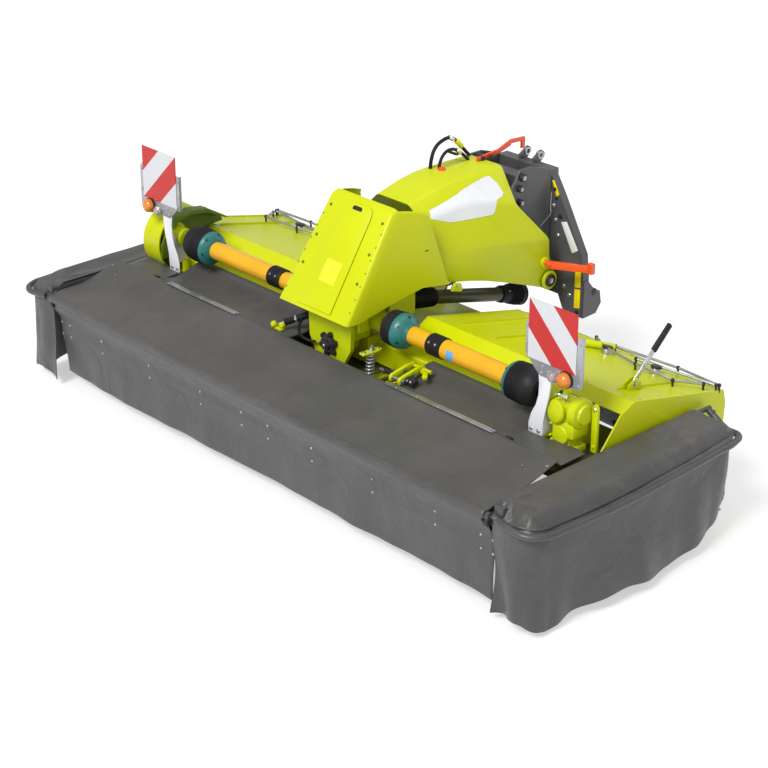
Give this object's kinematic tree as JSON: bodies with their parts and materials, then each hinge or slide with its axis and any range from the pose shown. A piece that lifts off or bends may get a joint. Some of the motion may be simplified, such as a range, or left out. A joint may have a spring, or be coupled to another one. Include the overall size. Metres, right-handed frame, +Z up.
{
  "type": "disc mower conditioner",
  "caption": "Front-mounted disc mower with tine conditioner, fabric guards, parallel boom to a tractor headstock, warning boards and parking stands.",
  "frame": {"origin": "middle of the footprint at ground level", "axes": "+X along the cutter bar towards the right-hand drive gearbox, +Y towards the tractor headstock, +Z up"},
  "size_m": [3.8652, 2.0629, 1.44],
  "materials": {
    "lime_paint": "semi-gloss",
    "grey_tarpaulin": "coated cloth",
    "zinc_steel": "zinc plated",
    "dark_grey_paint": "satin",
    "black_rubber": "matt",
    "yellow_guard": "satin",
    "white_plate": "satin",
    "orange_lock": "gloss"
  },
  "bodies": {
    "frame": {"cutter_bar": "dark_grey_paint", "main_frame": "lime_paint", "conditioner_hood": "lime_paint", "right_gearbox": "lime_paint", "left_drive_cover": "lime_paint", "rear_curtain": "grey_tarpaulin", "setting_lever": "zinc_steel", "float_spring": "zinc_steel", "left_end_plate": "lime_paint", "right_end_plate": "lime_paint", "left_warning_board": "white_plate", "right_warning_board": "white_plate", "left_board_bracket": "white_plate", "right_board_bracket": "white_plate", "left_board_lamp": "orange_lock", "right_board_lamp": "orange_lock", "left_inner_cover": "grey_tarpaulin", "right_inner_cover": "grey_tarpaulin", "left_swath_rods": "zinc_steel", "right_swath_rods": "zinc_steel"},
    "pendulum": {"pivot_carrier": "lime_paint", "bearing_cap": "dark_grey_paint", "central_gearbox": "lime_paint", "front_hood": "lime_paint"},
    "boom": {"boom_frame": "lime_paint", "rear_hood": "lime_paint", "lock_hook": "orange_lock", "lock_lever": "orange_lock", "hydraulic_hoses": "black_rubber"},
    "headstock": {"headstock_frame": "dark_grey_paint", "hitch_frame": "dark_grey_paint"},
    "main_shaft": {"main_drive_shaft": "black_rubber"},
    "left_shaft": {"left_cross_shaft": "yellow_guard"},
    "right_shaft": {"right_cross_shaft": "yellow_guard"},
    "service_flap": {"service_flap": "lime_paint"},
    "front_guard": {"front_frame": "dark_grey_paint", "front_cover": "grey_tarpaulin", "front_skirt": "grey_tarpaulin"},
    "left_end_guard": {"left_end_frame": "dark_grey_paint", "left_end_cover": "grey_tarpaulin", "left_end_skirt": "grey_tarpaulin"},
    "right_end_guard": {"right_end_frame": "dark_grey_paint", "right_end_cover": "grey_tarpaulin", "right_end_skirt": "grey_tarpaulin"},
    "conditioner": {"conditioner_rotor": "dark_grey_paint"},
    "left_door": {"left_swath_door": "lime_paint"},
    "right_door": {"right_swath_door": "lime_paint"},
    "left_stand": {"left_parking_stand": "zinc_steel"},
    "right_stand": {"right_parking_stand": "zinc_steel"},
    "disc_1": {"mowing_disc_1": "dark_grey_paint"},
    "disc_2": {"mowing_disc_2": "dark_grey_paint"},
    "disc_3": {"mowing_disc_3": "dark_grey_paint"},
    "disc_4": {"mowing_disc_4": "dark_grey_paint"},
    "disc_5": {"mowing_disc_5": "dark_grey_paint"},
    "disc_6": {"mowing_disc_6": "dark_grey_paint"},
    "disc_7": {"mowing_disc_7": "dark_grey_paint"},
    "disc_8": {"mowing_disc_8": "dark_grey_paint"}
  },
  "joints": [
    {"name": "pendulum", "type": "hinge", "parent": "frame", "child": "pendulum", "pos_m": [0, -0.4218, 0.625], "axis": [0, 1, 0], "range_deg": [-8, 8]},
    {"name": "boom_pitch", "type": "hinge", "parent": "pendulum", "child": "boom", "pos_m": [0, -0.1718, 0.95], "axis": [1, 0, 0], "range_deg": [-2, 31]},
    {"name": "headstock_pitch", "type": "hinge", "parent": "boom", "child": "headstock", "pos_m": [0, 0.8382, 0.74], "axis": [1, 0, 0], "range_deg": [-31, 2]},
    {"name": "main_shaft_pitch", "type": "hinge", "parent": "pendulum", "child": "main_shaft", "pos_m": [0, -0.0418, 0.74], "axis": [1, 0, 0], "range_deg": [-2, 31]},
    {"name": "left_shaft_swing", "type": "hinge", "parent": "frame", "child": "left_shaft", "pos_m": [-1.3, -0.3218, 0.76], "axis": [0, 1, 0], "range_deg": [-2.1, 2.1]},
    {"name": "right_shaft_swing", "type": "hinge", "parent": "frame", "child": "right_shaft", "pos_m": [1.3, -0.3218, 0.76], "axis": [0, 1, 0], "range_deg": [-2.1, 2.1]},
    {"name": "service_flap_hinge", "type": "hinge", "parent": "pendulum", "child": "service_flap", "pos_m": [0, -0.5818, 0.838], "axis": [1, 0, 0], "range_deg": [0, 60]},
    {"name": "front_guard_hinge", "type": "hinge", "parent": "frame", "child": "front_guard", "pos_m": [0, -0.5618, 0.6], "axis": [-1, 0, 0], "range_deg": [0, 60]},
    {"name": "left_end_guard_hinge", "type": "hinge", "parent": "frame", "child": "left_end_guard", "pos_m": [-1.64, -0.4218, 0.56], "axis": [0, 1, 0], "range_deg": [0, 90]},
    {"name": "right_end_guard_hinge", "type": "hinge", "parent": "frame", "child": "right_end_guard", "pos_m": [1.64, -0.4218, 0.56], "axis": [0, -1, 0], "range_deg": [0, 90]},
    {"name": "disc_1_spin", "type": "hinge", "parent": "frame", "child": "disc_1", "pos_m": [-1.47, -0.5418, 0.1253], "axis": [0, 0, 1], "continuous": true},
    {"name": "disc_2_spin", "type": "hinge", "parent": "frame", "child": "disc_2", "pos_m": [-1.05, -0.5418, 0.1253], "axis": [0, 0, 1], "continuous": true},
    {"name": "disc_3_spin", "type": "hinge", "parent": "frame", "child": "disc_3", "pos_m": [-0.63, -0.5418, 0.1253], "axis": [0, 0, 1], "continuous": true},
    {"name": "disc_4_spin", "type": "hinge", "parent": "frame", "child": "disc_4", "pos_m": [-0.21, -0.5418, 0.1253], "axis": [0, 0, 1], "continuous": true},
    {"name": "disc_5_spin", "type": "hinge", "parent": "frame", "child": "disc_5", "pos_m": [0.21, -0.5418, 0.1253], "axis": [0, 0, 1], "continuous": true},
    {"name": "disc_6_spin", "type": "hinge", "parent": "frame", "child": "disc_6", "pos_m": [0.63, -0.5418, 0.1253], "axis": [0, 0, 1], "continuous": true},
    {"name": "disc_7_spin", "type": "hinge", "parent": "frame", "child": "disc_7", "pos_m": [1.05, -0.5418, 0.1253], "axis": [0, 0, 1], "continuous": true},
    {"name": "disc_8_spin", "type": "hinge", "parent": "frame", "child": "disc_8", "pos_m": [1.47, -0.5418, 0.1253], "axis": [0, 0, 1], "continuous": true},
    {"name": "conditioner_spin", "type": "hinge", "parent": "frame", "child": "conditioner", "pos_m": [0, 0.0782, 0.345], "axis": [1, 0, 0], "continuous": true},
    {"name": "left_door_swing", "type": "hinge", "parent": "frame", "child": "left_door", "pos_m": [-1.575, 0.4082, 0.4], "axis": [0, 0, -1], "range_deg": [0, 38]},
    {"name": "right_door_swing", "type": "hinge", "parent": "frame", "child": "right_door", "pos_m": [1.575, 0.4082, 0.4], "axis": [0, 0, 1], "range_deg": [0, 38]},
    {"name": "left_stand_fold", "type": "hinge", "parent": "frame", "child": "left_stand", "pos_m": [-1.653, 0.4382, 0.44], "axis": [-1, 0, 0], "range_deg": [0, 90]},
    {"name": "right_stand_fold", "type": "hinge", "parent": "frame", "child": "right_stand", "pos_m": [1.653, 0.4382, 0.44], "axis": [-1, 0, 0], "range_deg": [0, 90]}
  ],
  "couplings": [
    {"joint": "headstock_pitch", "follows": "boom_pitch", "ratio": -1},
    {"joint": "main_shaft_pitch", "follows": "boom_pitch", "ratio": 1},
    {"joint": "left_shaft_swing", "follows": "pendulum", "ratio": -0.262},
    {"joint": "right_shaft_swing", "follows": "pendulum", "ratio": -0.262},
    {"joint": "disc_2_spin", "follows": "disc_1_spin", "ratio": -1},
    {"joint": "disc_3_spin", "follows": "disc_1_spin", "ratio": 1},
    {"joint": "disc_4_spin", "follows": "disc_1_spin", "ratio": -1},
    {"joint": "disc_5_spin", "follows": "disc_1_spin", "ratio": 1},
    {"joint": "disc_6_spin", "follows": "disc_1_spin", "ratio": -1},
    {"joint": "disc_7_spin", "follows": "disc_1_spin", "ratio": 1},
    {"joint": "disc_8_spin", "follows": "disc_1_spin", "ratio": -1}
  ]
}
